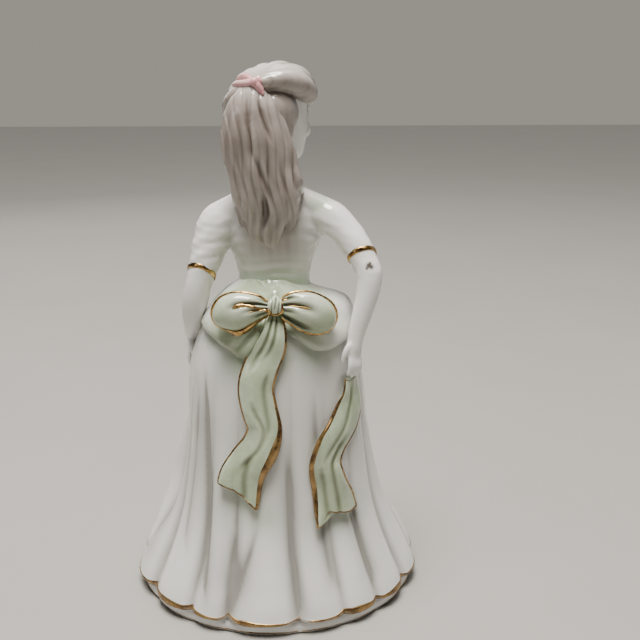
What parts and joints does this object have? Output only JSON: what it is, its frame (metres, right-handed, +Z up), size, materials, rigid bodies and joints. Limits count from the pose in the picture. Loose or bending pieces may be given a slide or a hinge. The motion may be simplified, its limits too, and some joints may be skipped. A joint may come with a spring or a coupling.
{
  "type": "porcelain bell",
  "caption": "Glazed porcelain hand bell shaped as a lady in a long gown with a green bow at her back, and a clapper hung inside the hollow skirt.",
  "frame": {"origin": "middle of the bell's base, on the surface it stands on", "axes": "+Z up along the bell's axis; the lady faces -Y, her left side is +X and the bow is at +Y"},
  "size_m": [0.0847, 0.0776, 0.15],
  "materials": {
    "white_glaze": "glossy clear glaze over white porcelain, soft grey in the folds, gilt lines on the hem and sleeves",
    "green_glaze": "glossy glaze over sprayed pale green, with gilt edges",
    "hair_glaze": "glossy glaze over pale mauve grey",
    "pink_glaze": "glossy glaze over dusty pink",
    "bead_glaze": "glossy white glaze",
    "brass_wire": "drawn wire, lightly tarnished",
    "plaster": "matt cast plaster"
  },
  "bodies": {
    "bell": {"foot_rim": "white_glaze", "skirt_bell": "white_glaze", "bodice": "white_glaze", "head": "white_glaze", "left_sleeve": "white_glaze", "right_sleeve": "white_glaze", "left_forearm": "white_glaze", "right_forearm": "white_glaze", "left_hand": "white_glaze", "right_hand": "white_glaze", "bustle_left": "green_glaze", "bustle_right": "green_glaze", "bow_loop_left": "green_glaze", "bow_loop_right": "green_glaze", "bow_knot": "green_glaze", "ribbon_tail_center": "green_glaze", "ribbon_tail_right": "green_glaze", "hair_crown": "hair_glaze", "hair_fall": "hair_glaze", "hair_ribbon": "pink_glaze", "staple": "brass_wire", "waist_plug": "plaster"},
    "link": {"chain_link": "brass_wire"},
    "clapper": {"clapper_stem": "brass_wire", "clapper_bead": "bead_glaze"}
  },
  "joints": [
    {"name": "link_swing", "type": "hinge", "parent": "bell", "child": "link", "pos_m": [0, 0, 0.072], "axis": [1, 0, 0], "range_deg": [-11, 11]},
    {"name": "clapper_swing", "type": "hinge", "parent": "link", "child": "clapper", "pos_m": [0, 0, 0.062], "axis": [0, 1, 0], "range_deg": [-24, 24]}
  ]
}
